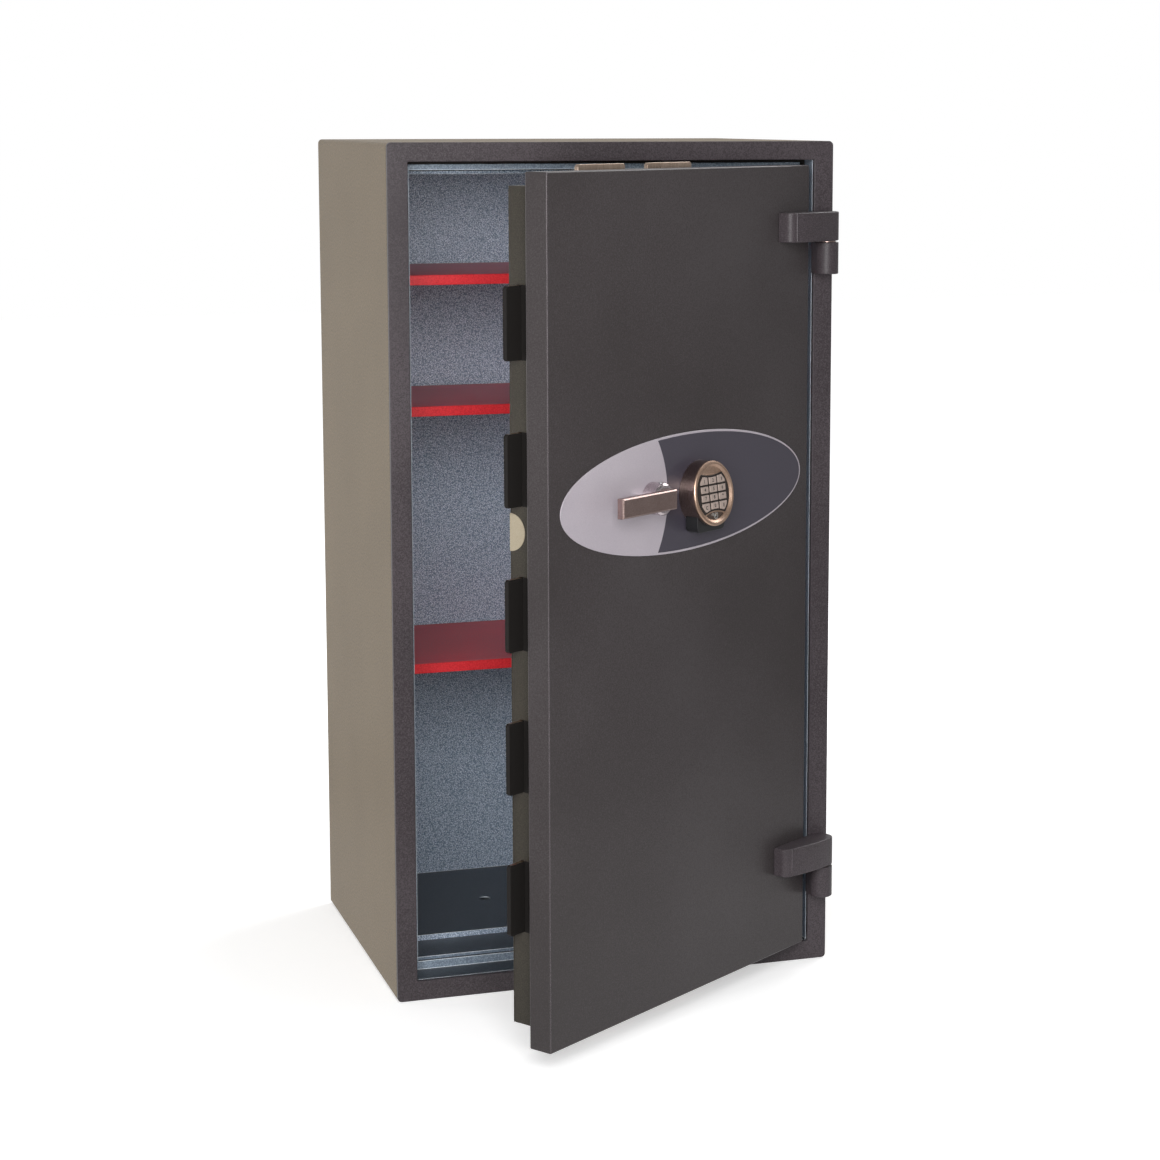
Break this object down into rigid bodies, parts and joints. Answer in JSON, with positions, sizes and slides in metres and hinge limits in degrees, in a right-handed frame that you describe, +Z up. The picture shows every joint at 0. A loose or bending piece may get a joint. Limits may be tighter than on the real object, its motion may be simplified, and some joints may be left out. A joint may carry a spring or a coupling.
{
  "type": "electronic safe",
  "caption": "Tall steel safe with an open swing door, a lever handle and round keypad on an oval plate, flat boltwork bolts on the door edges and red shelves.",
  "frame": {"origin": "middle of the underside of the cabinet, with the door left out", "axes": "+Z up, -Y out of the front face, +X to the right as seen from the front, where the hinges are"},
  "size_m": [0.63, 0.806, 1.17],
  "materials": {
    "side_paint": "fine textured warm grey paint",
    "front_paint": "fine textured dark grey paint",
    "liner_paint": "blue-grey hammered paint",
    "shelf_paint": "smooth red powder coat",
    "barrier": "fire-resistant board, rough",
    "plain_steel": "zinc plated",
    "bolt_steel": "satin, passivated",
    "satin_nickel": "satin nickel",
    "bronze": "satin bronze",
    "brass": "turned",
    "oval_silver": "satin anodised",
    "oval_slate": "printed foil",
    "key_grey": "moulded",
    "black_plastic": "moulded",
    "board_green": "circuit board",
    "rubber": "flexible",
    "chrome": "polished",
    "label": "paper label, plain"
  },
  "bodies": {
    "cabinet": {"outer_shell": "side_paint", "back_plate": "side_paint", "front_frame": "front_paint", "rebate_frame": "liner_paint", "body_infill": "barrier", "inner_liner": "liner_paint", "shelf_strips": "liner_paint", "shelf_clips": "plain_steel", "top_shelf": "shelf_paint", "middle_shelf": "shelf_paint", "bottom_shelf": "shelf_paint", "floor_sleeves": "plain_steel", "hinge_posts": "front_paint", "hinge_pins": "plain_steel", "hinge_washers": "brass"},
    "door": {"door_plate": "front_paint", "door_infill": "barrier", "door_back_plate": "front_paint", "boltwork_case": "front_paint", "boltwork_cover": "front_paint", "cover_screws": "plain_steel", "upper_hinge_arm": "front_paint", "lower_hinge_arm": "front_paint", "oval_plate": "oval_silver", "oval_inlay": "oval_slate", "spindle_bush": "brass", "keypad_housing": "bronze", "keypad_bezel": "bronze", "key_frame": "black_plastic", "keypad_board": "board_green", "key_membrane": "black_plastic", "status_led": "chrome", "keypad_cable": "rubber", "lock_case": "plain_steel", "hard_plate": "plain_steel", "guide_studs": "plain_steel", "hinge_side_dogs": "bolt_steel", "round_label": "label"},
    "handle": {"lever_bar": "satin_nickel", "handle_hub": "satin_nickel", "handle_spindle": "plain_steel", "drive_cam": "brass"},
    "side_bolts": {"side_bolts": "bolt_steel"},
    "top_bolts": {"top_bolts": "bolt_steel"},
    "bottom_bolts": {"bottom_bolts": "bolt_steel"},
    "lock_bolt": {"lock_bolt": "brass"},
    "battery_drawer": {"battery_drawer": "black_plastic", "battery": "black_plastic"},
    "key_1": {"key_1": "key_grey"},
    "key_2": {"key_2": "key_grey"},
    "key_3": {"key_3": "key_grey"},
    "key_4": {"key_4": "key_grey"},
    "key_5": {"key_5": "key_grey"},
    "key_6": {"key_6": "key_grey"},
    "key_7": {"key_7": "key_grey"},
    "key_8": {"key_8": "key_grey"},
    "key_9": {"key_9": "key_grey"},
    "key_clear": {"key_clear": "key_grey"},
    "key_0": {"key_0": "key_grey"},
    "key_enter": {"key_enter": "key_grey"}
  },
  "joints": [
    {"name": "door_hinge", "type": "hinge", "parent": "cabinet", "child": "door", "pos_m": [0.299, -0.2565, 0.585], "axis": [0, 0, 1], "range_deg": [-34.3, 145.7]},
    {"name": "handle_turn", "type": "hinge", "parent": "door", "child": "handle", "pos_m": [-0.00823, -0.47334, 0.717], "axis": [0.5635, -0.8261, 0], "range_deg": [0, 70]},
    {"name": "side_bolt_slide", "type": "slide", "parent": "door", "child": "side_bolts", "axis": [0.8261, 0.5635, 0], "range_m": [0, 0.027]},
    {"name": "top_bolt_slide", "type": "slide", "parent": "door", "child": "top_bolts", "axis": [0, 0, -1], "range_m": [0, 0.0245]},
    {"name": "bottom_bolt_slide", "type": "slide", "parent": "door", "child": "bottom_bolts", "axis": [0, 0, 1], "range_m": [0, 0.0245]},
    {"name": "lock_bolt_slide", "type": "slide", "parent": "door", "child": "lock_bolt", "axis": [0.8261, 0.5635, 0], "range_m": [-0.01, 0]},
    {"name": "battery_drawer_slide", "type": "slide", "parent": "door", "child": "battery_drawer", "axis": [0, 0, -1], "range_m": [0, 0.035]},
    {"name": "key_1_press", "type": "slide", "parent": "door", "child": "key_1", "axis": [-0.5591, 0.8196, -0.1253], "range_m": [0, 0.001], "stiffness_N_per_m": 400},
    {"name": "key_2_press", "type": "slide", "parent": "door", "child": "key_2", "axis": [-0.5591, 0.8196, -0.1253], "range_m": [0, 0.001], "stiffness_N_per_m": 400},
    {"name": "key_3_press", "type": "slide", "parent": "door", "child": "key_3", "axis": [-0.5591, 0.8196, -0.1253], "range_m": [0, 0.001], "stiffness_N_per_m": 400},
    {"name": "key_4_press", "type": "slide", "parent": "door", "child": "key_4", "axis": [-0.5591, 0.8196, -0.1253], "range_m": [0, 0.001], "stiffness_N_per_m": 400},
    {"name": "key_5_press", "type": "slide", "parent": "door", "child": "key_5", "axis": [-0.5591, 0.8196, -0.1253], "range_m": [0, 0.001], "stiffness_N_per_m": 400},
    {"name": "key_6_press", "type": "slide", "parent": "door", "child": "key_6", "axis": [-0.5591, 0.8196, -0.1253], "range_m": [0, 0.001], "stiffness_N_per_m": 400},
    {"name": "key_7_press", "type": "slide", "parent": "door", "child": "key_7", "axis": [-0.5591, 0.8196, -0.1253], "range_m": [0, 0.001], "stiffness_N_per_m": 400},
    {"name": "key_8_press", "type": "slide", "parent": "door", "child": "key_8", "axis": [-0.5591, 0.8196, -0.1253], "range_m": [0, 0.001], "stiffness_N_per_m": 400},
    {"name": "key_9_press", "type": "slide", "parent": "door", "child": "key_9", "axis": [-0.5591, 0.8196, -0.1253], "range_m": [0, 0.001], "stiffness_N_per_m": 400},
    {"name": "key_clear_press", "type": "slide", "parent": "door", "child": "key_clear", "axis": [-0.5591, 0.8196, -0.1253], "range_m": [0, 0.001], "stiffness_N_per_m": 400},
    {"name": "key_0_press", "type": "slide", "parent": "door", "child": "key_0", "axis": [-0.5591, 0.8196, -0.1253], "range_m": [0, 0.001], "stiffness_N_per_m": 400},
    {"name": "key_enter_press", "type": "slide", "parent": "door", "child": "key_enter", "axis": [-0.5591, 0.8196, -0.1253], "range_m": [0, 0.001], "stiffness_N_per_m": 400}
  ],
  "couplings": [
    {"joint": "side_bolt_slide", "follows": "handle_turn", "m_per_rad": 0.022099},
    {"joint": "top_bolt_slide", "follows": "handle_turn", "m_per_rad": 0.020053},
    {"joint": "bottom_bolt_slide", "follows": "handle_turn", "m_per_rad": 0.020053}
  ]
}
